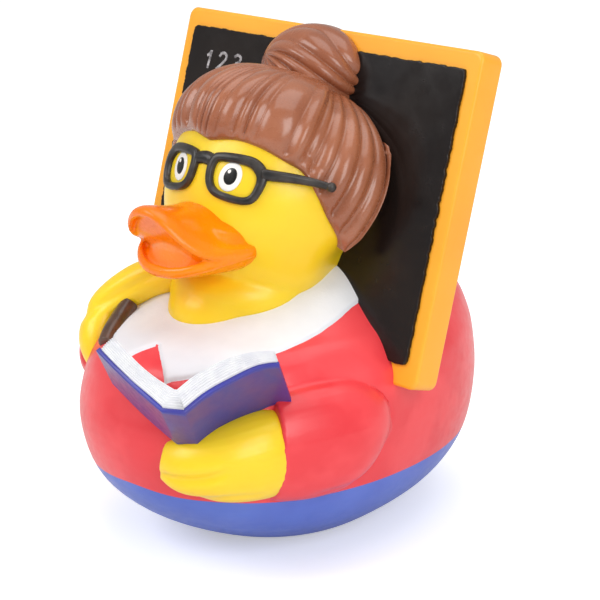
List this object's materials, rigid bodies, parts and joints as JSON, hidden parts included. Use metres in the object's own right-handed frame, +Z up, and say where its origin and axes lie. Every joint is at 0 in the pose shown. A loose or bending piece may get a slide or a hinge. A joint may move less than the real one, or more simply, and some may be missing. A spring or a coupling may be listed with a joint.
{
  "type": "novelty bath duck",
  "caption": "Hollow one-piece moulded bath duck dressed as a teacher, with glasses, an open book and a chalkboard behind its head; it stands on a flat base.",
  "frame": {"origin": "on the plane that the flat base rests on, in the duck's middle plane, 5.5 mm behind the base's vent", "axes": "-Y is the way the duck faces, +X its left side, +Z up"},
  "size_m": [0.078, 0.0975, 0.0989],
  "materials": {
    "jacket_red": "painted vinyl, satin gloss",
    "base_blue": "painted vinyl, satin gloss",
    "duck_yellow": "bare coloured vinyl, soft gloss",
    "bill_orange": "painted vinyl, high gloss",
    "hair_brown": "painted vinyl, gloss",
    "glasses_black": "painted vinyl, worn satin",
    "collar_white": "painted vinyl, satin",
    "book_blue": "painted vinyl, satin",
    "frame_yellow": "painted vinyl, satin",
    "slate_black": "painted vinyl, high gloss",
    "strap_brown": "painted vinyl, satin"
  },
  "bodies": {
    "root": {"duck": "jacket_red"}
  },
  "joints": []
}
